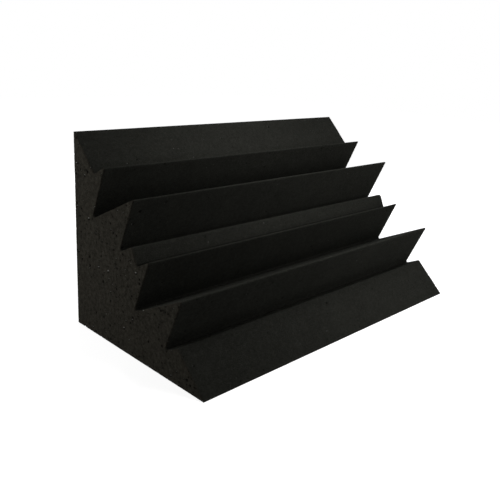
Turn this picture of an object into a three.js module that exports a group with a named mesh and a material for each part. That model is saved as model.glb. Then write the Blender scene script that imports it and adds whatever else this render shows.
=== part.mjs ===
// Corner bass trap: one block of open-cell foam that fills the corner between two surfaces of a room.
// Its two wall faces meet square along the rear bottom edge. A zigzag cut runs along its whole length,
// between the top rear edge and the bottom front edge, and gives the room side its ridges and grooves.
// Millimetres, +Z up, +X along the length, the room side towards -Y. The origin is the middle of the
// rectangle that the block stands on.
import * as THREE from "three";

// Size of the block
const LENGTH = 609.6;
const WALL_FACE_HEIGHT = 304.8;
const WALL_FACE_DEPTH = 304.8;

// The zigzag, measured along the diagonal plane between the two outer edges and square to it.
// From either outer edge it runs: land, short ridge, deep groove, tall ridge, shallow groove, middle step.
const EDGE_LAND = 76.2;
const SHORT_RIDGE_RISE = 27;
const DEEP_GROOVE_DEPTH = 49.5;
const TALL_RIDGE_RISE = 54;
const SHALLOW_GROOVE_DEPTH = 24;
const MIDDLE_STEP_RISE = 2.8;

// How far the flanks lean away from the normal of the diagonal plane, in degrees
const RISING_FLANK_LEAN = 20;
const FALLING_FLANK_LEAN = 24;

const foam = new THREE.MeshStandardMaterial({
  color: 0x23221e,
  roughness: 0.96,
  metalness: 0,
});

const diagonal = Math.hypot(WALL_FACE_DEPTH, WALL_FACE_HEIGHT);

// Half of the zigzag, from an outer edge to the middle step: x runs along the diagonal plane, and y is
// the height above it.
function halfZigzag() {
  const rising = Math.tan(THREE.MathUtils.degToRad(RISING_FLANK_LEAN));
  const falling = Math.tan(THREE.MathUtils.degToRad(FALLING_FLANK_LEAN));
  const flanks = [
    { height: SHORT_RIDGE_RISE, lean: rising },
    { height: -DEEP_GROOVE_DEPTH, lean: falling },
    { height: TALL_RIDGE_RISE, lean: rising },
    { height: -SHALLOW_GROOVE_DEPTH, lean: falling },
    { height: MIDDLE_STEP_RISE, lean: rising },
  ];
  const points = [new THREE.Vector2(0, 0), new THREE.Vector2(EDGE_LAND, 0)];
  for (const { height, lean } of flanks) {
    const last = points[points.length - 1];
    points.push(new THREE.Vector2(last.x + Math.abs(height - last.y) * lean, height));
  }
  return points;
}

// The whole zigzag. One cut through a square block makes two equal traps, so the second half is the
// first one given a half turn about the middle of the diagonal.
function zigzag() {
  const upper = halfZigzag();
  const lower = upper.map((point) => new THREE.Vector2(diagonal - point.x, -point.y)).reverse();
  return [...upper, ...lower];
}

// The section across the length: x points to the rear wall and y up, from the middle of the bottom face.
function section() {
  const rear = WALL_FACE_DEPTH / 2;
  const topEdge = new THREE.Vector2(rear, WALL_FACE_HEIGHT);
  const cornerEdge = new THREE.Vector2(rear, 0);
  const along = new THREE.Vector2(-WALL_FACE_DEPTH, -WALL_FACE_HEIGHT).divideScalar(diagonal);
  const outward = new THREE.Vector2(-WALL_FACE_HEIGHT, WALL_FACE_DEPTH).divideScalar(diagonal);
  const cut = zigzag().map((point) =>
    topEdge.clone().addScaledVector(along, point.x).addScaledVector(outward, point.y),
  );
  return new THREE.Shape([...cut, cornerEdge]);
}

function foamBlock() {
  const geometry = new THREE.ExtrudeGeometry(section(), { depth: LENGTH, bevelEnabled: false });
  const block = new THREE.Mesh(geometry, foam);
  block.name = "foam_block";
  // The section's x, y and z become +Y, +Z and +X
  block.rotation.set(Math.PI / 2, Math.PI / 2, 0);
  block.position.x = -LENGTH / 2;
  return block;
}

const bassTrap = new THREE.Group();
bassTrap.add(foamBlock());

export default bassTrap;
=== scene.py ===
"""A corner bass trap of charcoal foam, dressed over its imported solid, with a plain studio round it."""
import math

import bmesh
import bpy
import numpy as np
from bpy.props import FloatProperty, FloatVectorProperty, IntProperty, PointerProperty
from mathutils import Matrix, Vector


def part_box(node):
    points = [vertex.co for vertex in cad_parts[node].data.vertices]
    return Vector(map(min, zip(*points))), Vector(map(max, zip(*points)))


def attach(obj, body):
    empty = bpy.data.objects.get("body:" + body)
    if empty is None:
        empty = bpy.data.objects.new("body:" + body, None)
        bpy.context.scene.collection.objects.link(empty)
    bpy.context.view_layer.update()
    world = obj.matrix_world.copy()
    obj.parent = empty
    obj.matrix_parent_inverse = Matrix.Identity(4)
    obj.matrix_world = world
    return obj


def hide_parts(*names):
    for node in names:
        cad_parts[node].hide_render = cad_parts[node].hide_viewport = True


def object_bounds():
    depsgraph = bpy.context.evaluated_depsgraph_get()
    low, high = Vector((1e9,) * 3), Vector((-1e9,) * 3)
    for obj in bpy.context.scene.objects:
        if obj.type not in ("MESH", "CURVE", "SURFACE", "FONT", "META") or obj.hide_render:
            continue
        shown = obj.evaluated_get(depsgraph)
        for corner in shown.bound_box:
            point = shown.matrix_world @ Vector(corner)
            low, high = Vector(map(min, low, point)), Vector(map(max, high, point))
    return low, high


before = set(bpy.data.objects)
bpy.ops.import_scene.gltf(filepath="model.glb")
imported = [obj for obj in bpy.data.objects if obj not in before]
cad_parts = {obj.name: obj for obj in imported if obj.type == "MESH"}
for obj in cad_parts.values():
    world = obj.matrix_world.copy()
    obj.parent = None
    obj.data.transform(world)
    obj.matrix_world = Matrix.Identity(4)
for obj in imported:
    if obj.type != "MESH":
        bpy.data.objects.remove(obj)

bl_info = {
    "name": "Corner Bass Trap",
    "version": (1, 0, 0),
    "blender": (4, 5, 0),
    "location": "3D View > Sidebar > Bass Trap",
    "description": "Models a foam corner bass trap and its studio",
    "category": "Object",
}

CAD_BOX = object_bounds()
BLOCK_NODE = "foam_block"
BLOCK_NAME = "foam_body"
BODY = "root"
# Pores, darkened in the finish: painted shade in the holes
PORE_SHADE_ATTRIBUTE = "pore"
# Torn cell walls, painted pale in the finish: a painted glint
TORN_WALL_GLINT_ATTRIBUTE = "wall_glint"
# Tips and outer edges, lighter in the finish: partly wear, partly a painted highlight
WEAR_AND_HIGHLIGHT_ATTRIBUTE = "edge_wear_and_highlight"
# Creases, darkened in the finish on the cut faces: painted shade
CREASE_SHADE_ATTRIBUTE = "crease"
BAKE_MAP = "OFBake"
MAP_MARGIN = 0.003  # share of the map left free round each part of it
END_SHARE = 0.78  # leg of an end face, as a share of the quarter of the map that holds both ends
ENDWARD = 0.7  # share of a face's normal along the length from which it counts as an end
SAME_PLACE = 1e-5  # metres within which two places are one

# Where the sawn end faces begin, in metres from the ends of the block
END_DEPTH = 0.001
PORE_FADE = 0.003
TINT_FADE = 0.004

# Pores by size, in metres: spacing, radius and depth; then the share of the places that hold one on a
# cut face, how much larger that share is on a sawn face, and the shift of the random pattern
PORES = (
    (0.0130, 0.0034, 0.0020, 0.03, 0.57, 1.3),
    (0.0080, 0.0026, 0.0015, 0.07, 0.66, 2.7),
    (0.0045, 0.0014, 0.0007, 0.12, 0.50, 4.1),
)
CROWD_WIDTH = 0.045  # metres across a crowd of pores
SMALLEST_PORE = 0.55  # radius of the smallest pore of a size, over the largest one's

# The foam's mottling, in patches per metre
FINE_PATCHES = 420.0
PATCHES = 180.0
CLOUDS = 26.0
EDGE_REACH = 0.004  # metres from a tip or a crease over which its mark reaches in the finish: lighter tips, partly wear and partly a painted highlight, and darker creases, a painted shade

# The floor: the share of light that it gives back to the object and shows to the camera, its own glow
# under the object, and the distances between which that glow rises to full white
FLOOR_BOUNCE = 0.35
FLOOR_SHOWN = 0.6
FLOOR_GLOW = 0.8
GLOW_RISE = (0.5, 1.4)


# Settings that a user would change


class FoamBlockSettings(bpy.types.PropertyGroup):
    """Sizes and colours of the foam block."""

    edge_land: FloatProperty(
        name="Edge land",
        description="Flat strip beside each outer edge, along the diagonal plane",
        default=0.0762, min=0.0, unit="LENGTH",
    )
    short_ridge_rise: FloatProperty(
        name="Short ridge rise",
        description="Height of the first ridge above the diagonal plane",
        default=0.027, unit="LENGTH",
    )
    deep_groove_depth: FloatProperty(
        name="Deep groove depth",
        description="Depth of the deep groove below the diagonal plane",
        default=0.0495, unit="LENGTH",
    )
    tall_ridge_rise: FloatProperty(
        name="Tall ridge rise",
        description="Height of the second ridge above the diagonal plane",
        default=0.054, unit="LENGTH",
    )
    shallow_groove_depth: FloatProperty(
        name="Shallow groove depth",
        description="Depth of the shallow groove below the diagonal plane",
        default=0.024, unit="LENGTH",
    )
    middle_step_rise: FloatProperty(
        name="Middle step rise",
        description="Height of the middle step's upper edge above the diagonal plane",
        default=0.0028, unit="LENGTH",
    )
    rising_flank_lean: FloatProperty(
        name="Rising flank lean",
        description="Angle between a rising flank and the diagonal plane's normal",
        default=math.radians(20), subtype="ANGLE",
    )
    falling_flank_lean: FloatProperty(
        name="Falling flank lean",
        description="Angle between a falling flank and the diagonal plane's normal",
        default=math.radians(24), subtype="ANGLE",
    )
    tip_radius: FloatProperty(
        name="Tip radius",
        description="Radius of a ridge's rounded tip",
        default=0.0020, min=0.0, unit="LENGTH",
    )
    evening_loss: FloatProperty(
        name="Evening loss",
        description="How far the evening of the surface draws back a sharp edge or fills a crease",
        default=0.0013, min=0.0, unit="LENGTH",
    )
    surface_grid: FloatProperty(
        name="Surface grid",
        description="Spacing of the surface mesh",
        default=0.0015, min=0.0005, unit="LENGTH",
    )
    wave_height: FloatProperty(
        name="Wave height",
        description="Depth of the slow waves that the cutting leaves in a face",
        default=0.0004, min=0.0, unit="LENGTH",
    )
    wave_length: FloatProperty(
        name="Wave length",
        description="Distance from wave to wave",
        default=0.09, min=0.001, unit="LENGTH",
    )
    pore_warp: FloatProperty(
        name="Pore warp",
        description="How far a pore's outline strays from a circle",
        default=0.0022, min=0.0, unit="LENGTH",
    )
    grain_length: FloatProperty(
        name="Grain length",
        description="Distance from dip to dip of the cut surface's grain",
        default=0.004, min=0.0005, unit="LENGTH",
    )
    grain_depth: FloatProperty(
        name="Grain depth",
        description="Depth of the grain on the smooth cut faces",
        default=0.00015, min=0.0, unit="LENGTH",
    )
    sawn_grain_depth: FloatProperty(
        name="Sawn grain depth",
        description="Depth of the grain on the sawn end faces",
        default=0.0006, min=0.0, unit="LENGTH",
    )
    cell_size: FloatProperty(
        name="Cell size",
        description="Width of one foam cell",
        default=0.0011, min=0.0001, unit="LENGTH",
    )
    foam_colour: FloatVectorProperty(
        name="Foam colour",
        description="Colour of a freshly cut face",
        default=(0.0195, 0.0199, 0.0170), size=3, min=0.0, max=1.0, subtype="COLOR",
    )
    end_tint: FloatVectorProperty(
        name="End tint",
        description="Tint of the sawn end faces, over the foam colour",
        default=(1.10, 1.0, 0.94), size=3, min=0.0, soft_max=2.0, subtype="COLOR",
    )
    # The pale colour of a torn cell wall stands in for its glint: a painted glint
    torn_wall_glint_colour: FloatVectorProperty(
        name="Torn wall colour",
        description="Colour of the pale skin that a torn cell wall leaves in a pore",
        default=(0.34, 0.34, 0.32), size=3, min=0.0, max=1.0, subtype="COLOR",
    )


class StageSettings(bpy.types.PropertyGroup):
    """The camera and the studio."""

    camera_place: FloatVectorProperty(
        name="Camera place",
        description="Where the camera stands",
        default=(-0.7657, -0.6558, 0.4265), size=3, subtype="TRANSLATION", unit="LENGTH",
    )
    azimuth: FloatProperty(
        name="Azimuth",
        description="Turn of the camera about the vertical, from looking along +Y",
        default=math.radians(-44.30), subtype="ANGLE",
    )
    elevation: FloatProperty(
        name="Elevation",
        description="Angle by which the camera looks down",
        default=math.radians(16.90), subtype="ANGLE",
    )
    roll: FloatProperty(
        name="Roll",
        description="Turn of the camera about its own line of sight",
        default=math.radians(2.81), subtype="ANGLE",
    )
    lens: FloatProperty(
        name="Lens",
        description="Focal length in millimetres on a 36 mm sensor",
        default=44.17, min=1.0,
    )
    shift_x: FloatProperty(
        name="Shift X",
        description="Sideways shift of the picture, as a share of its width",
        default=0.0436,
    )
    shift_y: FloatProperty(
        name="Shift Y",
        description="Upward shift of the picture, as a share of its width",
        default=-0.0233,
    )
    floor_width: FloatProperty(
        name="Floor width",
        description="Width of the square floor",
        default=8.0, min=1.0, unit="LENGTH",
    )
    surround_light: FloatProperty(
        name="Surround light",
        description="Strength of the even light from all round",
        default=0.04, min=0.0,
    )
    light_share: FloatProperty(
        name="Light share",
        description="Share of the full power that each lamp gives",
        default=1.0, min=0.0, max=4.0, subtype="FACTOR",
    )


# Work in edit mode


def start_primitive(add, name, **settings):
    """Adds a primitive with nothing else selected and returns its object."""
    bpy.ops.object.select_all(action="DESELECT")
    add(**settings)
    made = bpy.context.object
    made.name = made.data.name = name
    return made


def select_vertices(test):
    """Selects the vertices of the mesh in edit mode whose places pass the test."""
    bpy.ops.mesh.select_mode(type="VERT")
    bpy.ops.mesh.select_all(action="DESELECT")
    edited = bpy.context.edit_object.data
    mesh = bmesh.from_edit_mesh(edited)
    for vertex in mesh.verts:
        vertex.select_set(test(vertex.co))
    bmesh.update_edit_mesh(edited)


def select_edges(test):
    """Selects the edges of the mesh in edit mode whose two ends pass the test."""
    bpy.ops.mesh.select_mode(type="EDGE")
    bpy.ops.mesh.select_all(action="DESELECT")
    edited = bpy.context.edit_object.data
    mesh = bmesh.from_edit_mesh(edited)
    for edge in mesh.edges:
        edge.select_set(test(edge.verts[0].co, edge.verts[1].co))
    bmesh.update_edit_mesh(edited)


def apply_modifier(piece, kind, name, **settings):
    """Adds a modifier with these settings and applies it."""
    modifier = piece.modifiers.new(name, kind)
    for key, value in settings.items():
        setattr(modifier, key, value)
    bpy.context.view_layer.objects.active = piece
    bpy.ops.object.modifier_apply(modifier=modifier.name)


# Work in node trees


def input_socket(node, key):
    """The input at this place, or the one in use that has this name."""
    if isinstance(key, int):
        return node.inputs[key]
    return next(socket for socket in node.inputs if socket.name == key and socket.enabled)


def add_node(tree, kind, inputs=None, **settings):
    """Adds a node, with each input set to a value or linked to a socket."""
    node = tree.nodes.new(kind)
    for key, value in settings.items():
        setattr(node, key, value)
    for key, value in (inputs or {}).items():
        if isinstance(value, bpy.types.NodeSocket):
            tree.links.new(value, input_socket(node, key))
        else:
            input_socket(node, key).default_value = value
    return node


def calculate(tree, operation, first, second=0.0, third=0.0):
    """Adds a math node and returns its result."""
    inputs = {0: first, 1: second, 2: third}
    return add_node(tree, "ShaderNodeMath", inputs, operation=operation).outputs[0]


def combine(tree, operation, first, second):
    """Adds a vector math node and returns its result."""
    return add_node(tree, "ShaderNodeVectorMath", {0: first, 1: second}, operation=operation).outputs[0]


def scaled(tree, vector, factor):
    """Adds a node that scales a vector or a colour and returns its result."""
    inputs = {0: vector, "Scale": factor}
    return add_node(tree, "ShaderNodeVectorMath", inputs, operation="SCALE").outputs[0]


def noise(tree, scale, detail=2.0, place=None):
    """Adds a noise pattern of this many patches per metre and returns its level, near 0.5."""
    inputs = {"Scale": scale, "Detail": detail}
    if place is not None:
        inputs["Vector"] = place
    return add_node(tree, "ShaderNodeTexNoise", inputs).outputs[0]


def remap(tree, value, low, high, to_low, to_high, smooth=False):
    """Adds a node that maps one range to another, held at its ends, and returns its result."""
    inputs = {"Value": value, "From Min": low, "From Max": high, "To Min": to_low, "To Max": to_high}
    kind = "SMOOTHSTEP" if smooth else "LINEAR"
    return add_node(tree, "ShaderNodeMapRange", inputs, interpolation_type=kind).outputs["Result"]


def at_ends(tree, place, half_length, fade):
    """0 on the cut sides and 1 on the sawn end faces."""
    along = add_node(tree, "ShaderNodeSeparateXYZ", {0: place}).outputs["X"]
    along = calculate(tree, "ABSOLUTE", along)
    return remap(tree, along, half_length - fade, half_length - END_DEPTH, 0.0, 1.0)


# The foam block's shape


class Section:
    """The block's section: its top rear edge, the diagonal plane's directions and the zigzag's turns."""

    def __init__(self, block, low, high):
        self.low, self.high = low, high
        self.top_edge = Vector((0.0, high.y, high.z))
        diagonal = Vector((0.0, low.y - high.y, low.z - high.z))
        self.span = diagonal.length
        self.along = diagonal.normalized()
        self.outward = Vector((0.0, self.along.z, -self.along.y))
        self.turns = self.turning_points(block)
        self.tips, self.creases = self.bends()
        self.outer_edges = [self.place((0.0, 0.0)), self.place((self.span, 0.0))]

    def turning_points(self, block):
        """Distance along the diagonal plane and height above it of each turn.

        The lower half is the upper half turned about the middle of the diagonal.
        """
        rising = math.tan(block.rising_flank_lean)
        falling = math.tan(block.falling_flank_lean)
        turns = [(block.edge_land, 0.0)]
        for height, lean in (
            (block.short_ridge_rise, rising),
            (-block.deep_groove_depth, falling),
            (block.tall_ridge_rise, rising),
            (-block.shallow_groove_depth, falling),
            (block.middle_step_rise, rising),
        ):
            along, last = turns[-1]
            turns.append((along + abs(height - last) * lean, height))
        return turns + [(self.span - along, -height) for along, height in reversed(turns)]

    def place(self, turn):
        """The middle of the edge at a turn."""
        along, height = turn
        return self.top_edge + self.along * along + self.outward * height

    def bends(self):
        """The ridge tips and the creases, which are the turns above and below both of their neighbours."""
        tips, creases = [], []
        for before, here, after in zip(self.turns, self.turns[1:], self.turns[2:]):
            if here[1] > max(before[1], after[1]):
                tips.append(here)
            elif here[1] < min(before[1], after[1]):
                creases.append(here)
        return tips, creases


def lies_on(edge):
    """A test whether a place lies on the lengthwise edge through this point."""
    return lambda place: (Vector((0.0, place.y, place.z)) - edge).length < SAME_PLACE


def cut_block(section, block):
    """A square blank, cut along the diagonal plane and folded into ridges and grooves at its turns.

    The rounding takes back what the ridges reach too far.
    """
    size = section.high - section.low
    piece = start_primitive(
        bpy.ops.mesh.primitive_cube_add, BLOCK_NAME,
        size=1.0, location=(section.low + section.high) / 2, scale=size,
    )
    bpy.ops.object.transform_apply(location=True, rotation=True, scale=True)
    bpy.ops.object.mode_set(mode="EDIT")
    bpy.ops.mesh.select_all(action="SELECT")
    bpy.ops.mesh.bisect(
        plane_co=section.top_edge, plane_no=section.outward, use_fill=True, clear_outer=True,
    )
    for along, _ in section.turns:
        bpy.ops.mesh.select_all(action="SELECT")
        bpy.ops.mesh.bisect(plane_co=section.place((along, 0.0)), plane_no=section.along)

    up, front = Vector((0.0, 0.0, 1.0)), Vector((0.0, -1.0, 0.0))
    for edge, direction in zip(section.outer_edges, (up, front)):
        select_vertices(lies_on(edge))
        bpy.ops.transform.translate(value=direction * block.evening_loss)

    half_angle = (block.rising_flank_lean + block.falling_flank_lean) / 2
    reach = block.tip_radius / math.sin(half_angle) - block.tip_radius
    on_tips = []
    for turn in section.turns:
        along, height = turn
        if turn in section.tips:
            height += reach
            on_tips.append(lies_on(section.place((along, height))))
        elif turn in section.creases:
            height -= block.evening_loss
        select_vertices(lies_on(section.place((along, 0.0))))
        bpy.ops.transform.translate(value=section.outward * height)

    select_edges(lambda one, other: any(on_tip(one) and on_tip(other) for on_tip in on_tips))
    bpy.ops.mesh.bevel(offset=block.tip_radius / math.tan(half_angle), segments=4, affect="EDGES")
    bpy.ops.object.mode_set(mode="OBJECT")
    return piece


def refine_ends(piece, half_length, grid):
    """Halves the mesh's spacing on the two end faces, whose sawn cells show most."""
    bpy.ops.object.mode_set(mode="EDIT")
    bpy.ops.mesh.select_mode(type="FACE")
    bpy.ops.mesh.select_all(action="DESELECT")
    mesh = bmesh.from_edit_mesh(piece.data)
    for face in mesh.faces:
        face.select_set(abs(face.calc_center_median().x) > half_length - grid)
    bmesh.update_edit_mesh(piece.data)
    bpy.ops.mesh.subdivide(number_cuts=1)
    bpy.ops.object.mode_set(mode="OBJECT")


def numbers_of(items, name, width, kind=np.float32):
    """One named value of each of a mesh's parts, as rows of this many numbers."""
    values = np.empty(len(items) * width, kind)
    items.foreach_get(name, values)
    return values.reshape(-1, width)


def share_along(places, line):
    """How far along a line of straight stretches each place lies, from 0 to 1, and its distance from it."""
    shares, distances = np.zeros(len(places)), np.full(len(places), np.inf)
    passed = 0.0
    for start, end in zip(line, line[1:]):
        stretch = end - start
        share = np.clip((places - start) @ stretch / (stretch @ stretch), 0.0, 1.0)
        distance = np.linalg.norm(places - start - share[:, None] * stretch, axis=1)
        nearer = distance < distances
        shares[nearer] = passed + share[nearer] * np.linalg.norm(stretch)
        distances[nearer] = distance[nearer]
        passed += np.linalg.norm(stretch)
    return shares / passed, distances


def on_map(across, up, corner, size):
    """Places on the map: these two shares of a rectangle that starts at this corner, clear of its border."""
    shares = np.column_stack((across, up))
    return np.array(corner) + MAP_MARGIN + (np.array(size) - 2 * MAP_MARGIN) * shares


def lay_out_map(piece, section):
    """Lays the surface out flat for a baked finish, while it has no pores yet.

    The front takes the map's lower half. The two walls and the two ends share the upper half.
    """
    mesh = piece.data
    top, front = (edge.yz for edge in section.outer_edges)
    rear = section.high.y, section.low.z
    zigzag = np.array([top, *(section.place(turn).yz for turn in section.turns), front])
    walls = np.array([front, rear, top])

    places = numbers_of(mesh.vertices, "co", 3)
    length, depth, height = ((places - section.low) / (section.high - section.low)).T
    forward = 1.0 - depth
    spots = np.stack((
        on_map(share_along(places[:, 1:], zigzag)[0], length, (0.0, 0.0), (1.0, 0.5)),
        on_map(share_along(places[:, 1:], walls)[0], length, (0.0, 0.5), (0.5, 0.5)),
        on_map(END_SHARE * forward, END_SHARE * height, (0.5, 0.5), (0.5, 0.5)),
        on_map(1.0 - END_SHARE * height, 1.0 - END_SHARE * forward, (0.5, 0.5), (0.5, 0.5)),
    ))

    middles = numbers_of(mesh.polygons, "center", 3)[:, 1:]
    at_front = share_along(middles, zigzag)[1] < share_along(middles, walls)[1]
    turned = numbers_of(mesh.polygons, "normal", 3)[:, 0]
    side = np.select((turned < -ENDWARD, turned > ENDWARD, at_front), (2, 3, 0), default=1)
    side = np.repeat(side, numbers_of(mesh.polygons, "loop_total", 1, np.int32)[:, 0])
    corners = numbers_of(mesh.loops, "vertex_index", 1, np.int32)[:, 0]
    layer = mesh.uv_layers.new(name=BAKE_MAP)
    layer.uv.foreach_set("vector", spots[side, corners].astype(np.float32).ravel())


def add_pores(tree, place, sawn, cell, radius, share, more, seed):
    """Pores in a share of the cells of a random pattern, more of them and in crowds on a sawn face.

    Gives how deep each point lies in a pore, and how much of a torn cell wall it holds, from 0 to 1; the
    finish paints that wall pale as a painted glint.
    """
    moved = combine(tree, "ADD", place, (seed, seed, seed))
    cells = add_node(tree, "ShaderNodeTexVoronoi", {"Vector": moved, "Scale": 1.0 / cell})
    crowd = noise(tree, 1.0 / CROWD_WIDTH, place=cells.outputs["Position"])
    more = calculate(tree, "MULTIPLY", sawn, remap(tree, crowd, 0.4, 0.6, 0.4 * more, 1.4 * more))
    share = calculate(tree, "ADD", more, share)
    chance = add_node(tree, "ShaderNodeSeparateXYZ", {0: cells.outputs["Color"]})
    size = remap(tree, chance.outputs["Y"], 0.0, 1.0, SMALLEST_PORE * radius / cell, radius / cell)
    reach = calculate(tree, "DIVIDE", cells.outputs["Distance"], size)
    bowl = remap(tree, reach, 0.35, 1.0, 1.0, 0.0, smooth=True)
    pore = calculate(tree, "MULTIPLY", bowl, calculate(tree, "LESS_THAN", chance.outputs["X"], share))

    # A torn wall stands along one side of a pore, in a random direction within the face's plane, and the
    # finish paints it pale as a painted glint
    aim = combine(tree, "SUBTRACT", cells.outputs["Color"], (0.5, 0.5, 0.5))
    normal = add_node(tree, "GeometryNodeInputNormal").outputs[0]
    aim = combine(tree, "SUBTRACT", aim, combine(tree, "PROJECT", aim, normal))
    aim = add_node(tree, "ShaderNodeVectorMath", {0: aim}, operation="NORMALIZE").outputs[0]
    sides = {0: combine(tree, "SUBTRACT", moved, cells.outputs["Position"]), 1: aim}
    side = add_node(tree, "ShaderNodeVectorMath", sides, operation="DOT_PRODUCT").outputs["Value"]
    side = calculate(tree, "DIVIDE", side, calculate(tree, "MULTIPLY", size, cell))
    edge_side = remap(tree, side, 0.2, 0.6, 0.0, 1.0)
    strength = remap(tree, chance.outputs["Z"], 0.35, 0.85, 0.0, 1.0)
    wall = calculate(tree, "MULTIPLY", edge_side, strength)
    return pore, calculate(tree, "MULTIPLY", pore, wall)


def keep_value(tree, geometry, name, value):
    """Keeps a value at each point under a name, for the material."""
    inputs = {"Geometry": geometry, "Name": name, "Value": value}
    kept = add_node(tree, "GeometryNodeStoreNamedAttribute", inputs, data_type="FLOAT", domain="POINT")
    return kept.outputs[0]


def pore_tree(block, half_length):
    """Geometry nodes that sink the foam's larger pores, its grain and slow waves into the surface."""
    tree = bpy.data.node_groups.new("foam_pores", "GeometryNodeTree")
    tree.interface.new_socket("Geometry", in_out="INPUT", socket_type="NodeSocketGeometry")
    tree.interface.new_socket("Geometry", in_out="OUTPUT", socket_type="NodeSocketGeometry")
    surface = add_node(tree, "NodeGroupInput").outputs[0]
    position = add_node(tree, "GeometryNodeInputPosition").outputs[0]
    sawn = at_ends(tree, position, half_length, PORE_FADE)

    warp = add_node(tree, "ShaderNodeTexNoise", {"Scale": 1.0 / block.grain_length}).outputs["Color"]
    warped = {0: warp, 1: (block.pore_warp,) * 3, 2: position}
    place = add_node(tree, "ShaderNodeVectorMath", warped, operation="MULTIPLY_ADD").outputs[0]

    depth, inside, wall_glint = 0.0, 0.0, 0.0
    for cell, radius, sink, share, more, seed in PORES:
        pore, wall = add_pores(tree, place, sawn, cell, radius, share, more, seed)
        depth = calculate(tree, "MAXIMUM", depth, calculate(tree, "MULTIPLY", pore, sink))
        inside = calculate(tree, "MAXIMUM", inside, pore)
        wall_glint = calculate(tree, "MAXIMUM", wall_glint, wall)
    grain = noise(tree, 1.0 / block.grain_length)
    grain_depth = remap(tree, sawn, 0.0, 1.0, block.grain_depth, block.sawn_grain_depth)
    depth = calculate(tree, "MULTIPLY_ADD", grain, grain_depth, depth)
    waves = noise(tree, 1.0 / block.wave_length, detail=3.0)
    depth = calculate(tree, "MULTIPLY_ADD", waves, block.wave_height, depth)

    # Kept for the finish, which darkens the pores as painted shade and paints the torn walls pale as a
    # painted glint
    kept = keep_value(tree, surface, PORE_SHADE_ATTRIBUTE, inside)
    kept = keep_value(tree, kept, TORN_WALL_GLINT_ATTRIBUTE, wall_glint)
    normal = add_node(tree, "GeometryNodeInputNormal").outputs[0]
    shift = scaled(tree, normal, calculate(tree, "MULTIPLY", depth, -1.0))
    sunk = add_node(tree, "GeometryNodeSetPosition", {"Geometry": kept, "Offset": shift}).outputs[0]
    add_node(tree, "NodeGroupOutput", {0: sunk})
    return tree


def keep_nearness(piece, name, edges):
    """Keeps how near each point lies to these lengthwise edges, from 0 to 1, for the material."""
    places = numbers_of(piece.data.vertices, "co", 3)
    nearest = np.full(len(places), np.inf, np.float32)
    for edge in edges:
        nearest = np.minimum(nearest, np.hypot(places[:, 1] - edge.y, places[:, 2] - edge.z))
    nearness = np.clip(1.0 - nearest / EDGE_REACH, 0.0, 1.0)
    attribute = piece.data.attributes.new(name, "FLOAT", "POINT")
    attribute.data.foreach_set("value", nearness.astype(np.float32))


# The foam's finish


def cell_network(tree, place, size, strut):
    """1 on the struts between the cells of a foam and 0 inside them."""
    cells = add_node(
        tree, "ShaderNodeTexVoronoi", {"Vector": place, "Scale": 1.0 / size}, feature="DISTANCE_TO_EDGE",
    )
    return remap(tree, cells.outputs["Distance"], 0.0, strut, 1.0, 0.0, smooth=True)


def kept_value(tree, name):
    """The value that the surface keeps under this name."""
    return add_node(tree, "ShaderNodeAttribute", attribute_name=name).outputs["Fac"]


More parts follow.
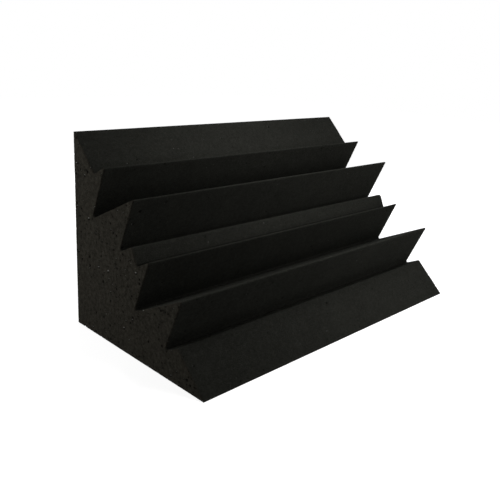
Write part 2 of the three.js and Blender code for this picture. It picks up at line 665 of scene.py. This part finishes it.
def foam_material(block, half_length):
    """Charcoal open-cell foam: cells, mottling, pores darkened as painted shade, torn cell walls painted
    pale as a painted glint, tips lighter as wear and as a painted highlight, creases darkened as painted
    shade, and browner sawn ends.
    """
    material = bpy.data.materials.new("charcoal_foam")
    material.use_nodes = True
    tree = material.node_tree
    shader = tree.nodes["Principled BSDF"]
    place = add_node(tree, "ShaderNodeTexCoord").outputs["Object"]
    sawn = at_ends(tree, place, half_length, TINT_FADE)

    coarse = cell_network(tree, place, 1.6 * block.cell_size, 0.20)
    small = cell_network(tree, place, block.cell_size, 0.26)
    struts = calculate(tree, "MULTIPLY_ADD", small, 0.6, calculate(tree, "MULTIPLY", coarse, 0.4))
    fine = noise(tree, FINE_PATCHES, place=place)
    patchy = noise(tree, PATCHES, place=place)
    cloudy = noise(tree, CLOUDS, detail=4.0, place=place)

    # Each cause, its range, and the brightness that it gives at both ends of that range
    patch_low = remap(tree, sawn, 0.0, 1.0, 0.89, 0.70)
    patch_high = remap(tree, sawn, 0.0, 1.0, 1.12, 1.32)
    level = remap(tree, patchy, 0.3, 0.7, patch_low, patch_high)
    for cause, low, high, at_low, at_high in (
        (struts, 0.0, 1.0, 0.62, 1.50),
        (fine, 0.3, 0.7, 0.90, 1.10),
        (cloudy, 0.3, 0.7, 0.93, 1.07),
        # Pores darker, most on the sawn ends: painted shade in the holes
        (kept_value(tree, PORE_SHADE_ATTRIBUTE), 0.1, 0.8, 1.0, remap(tree, sawn, 0.0, 1.0, 0.50, 0.12)),
        # Tips and outer edges lighter: partly wear, partly a painted highlight
        (kept_value(tree, WEAR_AND_HIGHLIGHT_ATTRIBUTE), 0.0, 1.0, 1.0, 1.12),
        # Creases darker on the cut faces: painted shade
        (kept_value(tree, CREASE_SHADE_ATTRIBUTE), 0.0, 0.6, 1.0, remap(tree, sawn, 0.0, 1.0, 0.35, 1.0)),
    ):
        level = calculate(tree, "MULTIPLY", level, remap(tree, cause, low, high, at_low, at_high))

    end_colour = [part * tint for part, tint in zip(block.foam_colour, block.end_tint)]
    colours = {"Factor": sawn, "A": (*block.foam_colour, 1.0), "B": (*end_colour, 1.0)}
    colour = add_node(tree, "ShaderNodeMix", colours, data_type="RGBA").outputs["Result"]
    # Torn cell walls painted pale, more so on the sawn ends: a painted glint
    most_wall_glint = remap(tree, sawn, 0.0, 1.0, 0.55, 1.0)
    torn = remap(tree, kept_value(tree, TORN_WALL_GLINT_ATTRIBUTE), 0.1, 0.5, 0.0, most_wall_glint)
    colours = {"Factor": torn, "A": scaled(tree, colour, level), "B": (*block.torn_wall_glint_colour, 1.0)}
    colour = add_node(tree, "ShaderNodeMix", colours, data_type="RGBA").outputs["Result"]
    tree.links.new(colour, shader.inputs["Base Color"])

    rough = remap(tree, struts, 0.0, 1.0, 1.0, 0.84)
    tree.links.new(rough, shader.inputs["Roughness"])
    shader.inputs["Specular IOR Level"].default_value = 0.01

    height = calculate(tree, "ADD", struts, fine)
    bump = add_node(tree, "ShaderNodeBump", {"Height": height, "Strength": 0.8, "Distance": 0.0005})
    tree.links.new(bump.outputs[0], shader.inputs["Normal"])
    return material


# The studio


LAMPS = {  # place and aim in metres, width in metres, power in watts
    "front_lamp": ((0.30, -0.57, 0.34), (0.05, 0.0, 0.15), 0.32, 1.75),
    "near_lamp": ((0.05, -0.30, 0.50), (0.05, 0.0, 0.15), 0.20, 0.32),
    "top_lamp": ((0.00, -0.12, 0.62), (0.05, 0.0, 0.15), 0.25, 1.35),
    "left_lamp": ((-1.00, 0.33, 0.39), (0.05, 0.0, 0.15), 0.45, 4.7),
    "back_lamp": ((0.50, 1.10, 0.55), (0.0, 0.0, 0.15), 0.50, 6.0),
    "right_lamp": ((1.20, 0.25, 0.45), (0.0, 0.0, 0.15), 0.45, 4.0),
}


def add_lamp(name, place, target, size, power):
    """A square soft lamp aimed at a target, which the camera doesn't see."""
    bpy.ops.object.light_add(type="AREA", location=place)
    made = bpy.context.object
    made.name = made.data.name = name
    made.data.shape = "SQUARE"
    made.data.size = size
    made.data.energy = power
    made.rotation_euler = (Vector(target) - Vector(place)).to_track_quat("-Z", "Y").to_euler()
    made.visible_camera = False
    return made


def seen_directly(tree):
    """1 for rays that show a surface to the camera, by themselves or in a mirror or glass."""
    path = add_node(tree, "ShaderNodeLightPath").outputs
    mirrored = calculate(tree, "MAXIMUM", path["Is Glossy Ray"], path["Is Transmission Ray"])
    return calculate(tree, "MAXIMUM", path["Is Camera Ray"], mirrored)


def floor_material():
    """A pale floor that shows white to the camera and keeps the object's shadow."""
    material = bpy.data.materials.new("pale_floor")
    material.use_nodes = True
    tree = material.node_tree
    tree.nodes.clear()
    place = add_node(tree, "ShaderNodeTexCoord").outputs["Object"]
    away = add_node(tree, "ShaderNodeVectorMath", {0: place}, operation="LENGTH").outputs["Value"]
    strength = remap(tree, away, *GLOW_RISE, FLOOR_GLOW, 1.0)
    bounce, shown = (
        add_node(tree, "ShaderNodeBsdfDiffuse", {"Color": (share, share, share, 1.0)}).outputs[0]
        for share in (FLOOR_BOUNCE, FLOOR_SHOWN)
    )
    glow = add_node(tree, "ShaderNodeEmission", {"Strength": strength}).outputs[0]
    white = add_node(tree, "ShaderNodeAddShader", {0: shown, 1: glow}).outputs[0]
    mixed = add_node(tree, "ShaderNodeMixShader", {0: seen_directly(tree), 1: bounce, 2: white}).outputs[0]
    add_node(tree, "ShaderNodeOutputMaterial", {"Surface": mixed})
    return material


def white_world(strength):
    """Faint even light from all round, shown as white to the camera."""
    world = bpy.data.worlds.new("studio")
    bpy.context.scene.world = world
    world.use_nodes = True
    tree = world.node_tree
    tree.nodes.clear()
    level = remap(tree, seen_directly(tree), 0.0, 1.0, strength, 1.0)
    white = {"Color": (1.0, 1.0, 1.0, 1.0), "Strength": level}
    glow = add_node(tree, "ShaderNodeBackground", white).outputs[0]
    add_node(tree, "ShaderNodeOutputWorld", {"Surface": glow})


# Operators


class FoamBlockOperator(bpy.types.Operator):
    """Models the foam block in place of its plain solid."""

    bl_idname = "basstrap.foam_block"
    bl_label = "Model Foam Block"

    def execute(self, context):
        block = context.scene.foam_block_settings
        section = Section(block, *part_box(BLOCK_NODE))
        piece = cut_block(section, block)
        half_length = (section.high.x - section.low.x) / 2
        apply_modifier(piece, "REMESH", "even_surface", mode="VOXEL", voxel_size=block.surface_grid)
        refine_ends(piece, half_length, block.surface_grid)
        apply_modifier(piece, "SMOOTH", "soft_edges", factor=0.5, iterations=2)
        lay_out_map(piece, section)
        # Tips and outer edges, lighter in the finish: partly wear, partly a painted highlight
        ridges = [section.place(turn) for turn in section.tips]
        keep_nearness(piece, WEAR_AND_HIGHLIGHT_ATTRIBUTE, section.outer_edges + ridges)
        # Creases, darkened in the finish on the cut faces: painted shade
        grooves = [section.place(turn) for turn in section.creases]
        keep_nearness(piece, CREASE_SHADE_ATTRIBUTE, grooves)
        apply_modifier(piece, "NODES", "pores", node_group=pore_tree(block, half_length))
        bpy.ops.object.shade_smooth()
        piece.data.materials.clear()
        piece.data.materials.append(foam_material(block, half_length))
        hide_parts(BLOCK_NODE)
        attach(piece, BODY)
        return {"FINISHED"}


class StageOperator(bpy.types.Operator):
    """Sets up the floor, the lamps and the camera."""

    bl_idname = "basstrap.stage"
    bl_label = "Set Up Studio"

    def execute(self, context):
        stage = context.scene.stage_settings
        bpy.ops.object.select_all(action="DESELECT")
        bpy.ops.mesh.primitive_plane_add(size=stage.floor_width, location=(0.0, 0.0, CAD_BOX[0].z))
        floor = context.object
        floor.name = floor.data.name = "floor"
        floor.data.materials.append(floor_material())
        white_world(stage.surround_light)
        for name, (place, target, size, power) in LAMPS.items():
            add_lamp(name, place, target, size, power * stage.light_share)
        bpy.ops.object.camera_add(location=stage.camera_place)
        camera = context.object
        camera.name = camera.data.name = "photo_camera"
        turn = Matrix.Rotation(stage.azimuth, 4, "Z")
        tilt = Matrix.Rotation(math.pi / 2 - stage.elevation, 4, "X")
        lean = Matrix.Rotation(stage.roll, 4, "Z")
        camera.rotation_euler = (turn @ tilt @ lean).to_euler()
        camera.data.lens = stage.lens
        camera.data.shift_x = stage.shift_x
        camera.data.shift_y = stage.shift_y
        context.scene.camera = camera
        context.scene.view_settings.view_transform = "Standard"
        return {"FINISHED"}


class BassTrapPanel(bpy.types.Panel):
    """Lists the steps and their settings in the sidebar."""

    bl_idname = "VIEW3D_PT_bass_trap"
    bl_label = "Bass Trap"
    bl_space_type = "VIEW_3D"
    bl_region_type = "UI"
    bl_category = "Bass Trap"

    def draw(self, context):
        for operator, settings in (
            (FoamBlockOperator, context.scene.foam_block_settings),
            (StageOperator, context.scene.stage_settings),
        ):
            box = self.layout.box()
            box.operator(operator.bl_idname)
            for name in settings.__annotations__:
                box.prop(settings, name)


CLASSES = (FoamBlockSettings, StageSettings, FoamBlockOperator, StageOperator, BassTrapPanel)


def register():
    for kind in CLASSES:
        bpy.utils.register_class(kind)
    bpy.types.Scene.foam_block_settings = PointerProperty(type=FoamBlockSettings)
    bpy.types.Scene.stage_settings = PointerProperty(type=StageSettings)


def unregister():
    del bpy.types.Scene.stage_settings
    del bpy.types.Scene.foam_block_settings
    for kind in reversed(CLASSES):
        bpy.utils.unregister_class(kind)


def main():
    """Builds the bass trap and its studio."""
    register()
    bpy.ops.basstrap.foam_block()
    bpy.ops.basstrap.stage()


if __name__ == "__main__":
    main()
